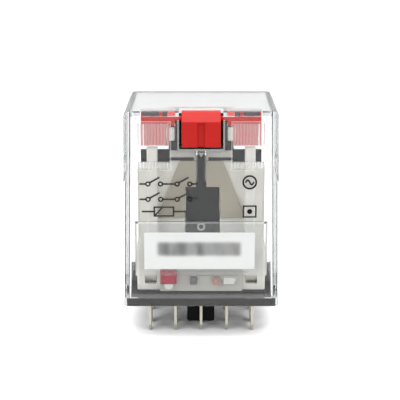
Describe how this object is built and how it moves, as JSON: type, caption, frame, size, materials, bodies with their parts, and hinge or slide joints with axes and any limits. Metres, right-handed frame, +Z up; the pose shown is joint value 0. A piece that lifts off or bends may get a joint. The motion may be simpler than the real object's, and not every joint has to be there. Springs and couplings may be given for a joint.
{
  "type": "plug-in control relay",
  "caption": "Plug-in control relay: clear rectangular cover over a coil, contact sets and indicator, red flip-up test lever, flat plug-in blades and a keying post underneath.",
  "frame": {"origin": "centre of the seating plane, the underside of the base and the open rim of the cover; the blades reach below it", "axes": "+Z up through the cover, -Y towards the face with the test lever and the name plate, +X to the right seen from that face"},
  "size_m": [0.028, 0.022, 0.0423],
  "materials": {
    "beige_resin": "moulded, satin",
    "black_resin": "moulded glass-filled resin",
    "board": "white solder mask",
    "bronze": "phosphor bronze strip",
    "clear_polycarbonate": "clear, polished, moulded",
    "copper": "bare copper",
    "dark_resin": "moulded, satin",
    "dark_steel": "blackened spring steel",
    "enamelled_copper": "enamelled wire, gloss",
    "grey_part": "epoxy",
    "ivory_resin": "moulded, satin",
    "nickel_brass": "nickel-plated brass, satin",
    "pink_part": "lacquer",
    "plated_iron": "nickel-plated soft iron",
    "red_lens": "tinted lens",
    "red_resin": "moulded, satin",
    "silver_alloy": "silver alloy, satin",
    "spring_steel": "spring steel",
    "tape": "white polyester tape",
    "tinned_copper": "tinned copper braid",
    "white_card": "matt printed film",
    "white_resin": "moulded, satin",
    "yellow_resin": "moulded, satin"
  },
  "bodies": {
    "frame": {"base": "black_resin", "bobbin": "white_resin", "braid_1": "tinned_copper", "braid_2": "tinned_copper", "braid_3": "tinned_copper", "braid_4": "tinned_copper", "button_guide": "dark_resin", "button_spring": "spring_steel", "coil_leads": "enamelled_copper", "coil_tape": "tape", "coil_terminal_front": "nickel_brass", "coil_terminal_rear": "nickel_brass", "coil_winding": "enamelled_copper", "com_terminal_1": "nickel_brass", "com_terminal_2": "nickel_brass", "com_terminal_3": "nickel_brass", "com_terminal_4": "nickel_brass", "contact_housing": "ivory_resin", "core": "plated_iron", "cover": "clear_polycarbonate", "detent_springs": "dark_steel", "front_shield": "beige_resin", "hinge_leaf_spring": "spring_steel", "led_board": "board", "led_body": "white_resin", "led_capacitor": "white_resin", "led_diode": "grey_part", "led_lens": "red_lens", "led_resistor": "pink_part", "lever_cradle": "red_resin", "lever_stops": "white_resin", "name_card": "white_card", "nameplate_window": "clear_polycarbonate", "nc_contacts": "silver_alloy", "nc_terminal_1": "nickel_brass", "nc_terminal_2": "nickel_brass", "nc_terminal_3": "nickel_brass", "nc_terminal_4": "nickel_brass", "no_contacts": "silver_alloy", "no_terminal_1": "nickel_brass", "no_terminal_2": "nickel_brass", "no_terminal_3": "nickel_brass", "no_terminal_4": "nickel_brass", "post_bracket": "dark_resin", "shading_ring": "copper", "yoke": "plated_iron", "yoke_rivets": "spring_steel"},
    "lever": {"test_lever": "red_resin"},
    "button": {"test_button": "yellow_resin"},
    "armature_group": {"armature": "plated_iron", "contact_carrier": "dark_resin", "spring_holder": "white_resin", "armature_rivets": "spring_steel", "moving_contacts": "silver_alloy", "position_flag": "white_resin", "moving_spring_1": "bronze", "moving_spring_2": "bronze", "moving_spring_3": "bronze", "moving_spring_4": "bronze"}
  },
  "joints": [
    {"name": "lever_flip", "type": "hinge", "parent": "frame", "child": "lever", "pos_m": [0, -0.0089, 0.03445], "axis": [-1, 0, 0], "range_deg": [0, 90]},
    {"name": "armature_tilt", "type": "hinge", "parent": "frame", "child": "armature_group", "pos_m": [0, 0.00815, 0.02495], "axis": [1, 0, 0], "range_deg": [0, 4.5], "stiffness_Nm_per_rad": 0.02, "springref_deg": -5.73, "deforming": ["braid_1", "braid_2", "braid_3", "braid_4"]},
    {"name": "button_press", "type": "slide", "parent": "frame", "child": "button", "axis": [0, 0, -1], "range_m": [0, 0.00128], "deforming": ["button_spring"]}
  ],
  "couplings": [
    {"joint": "button_press", "follows": "armature_tilt", "m_per_rad": 0.01615}
  ]
}
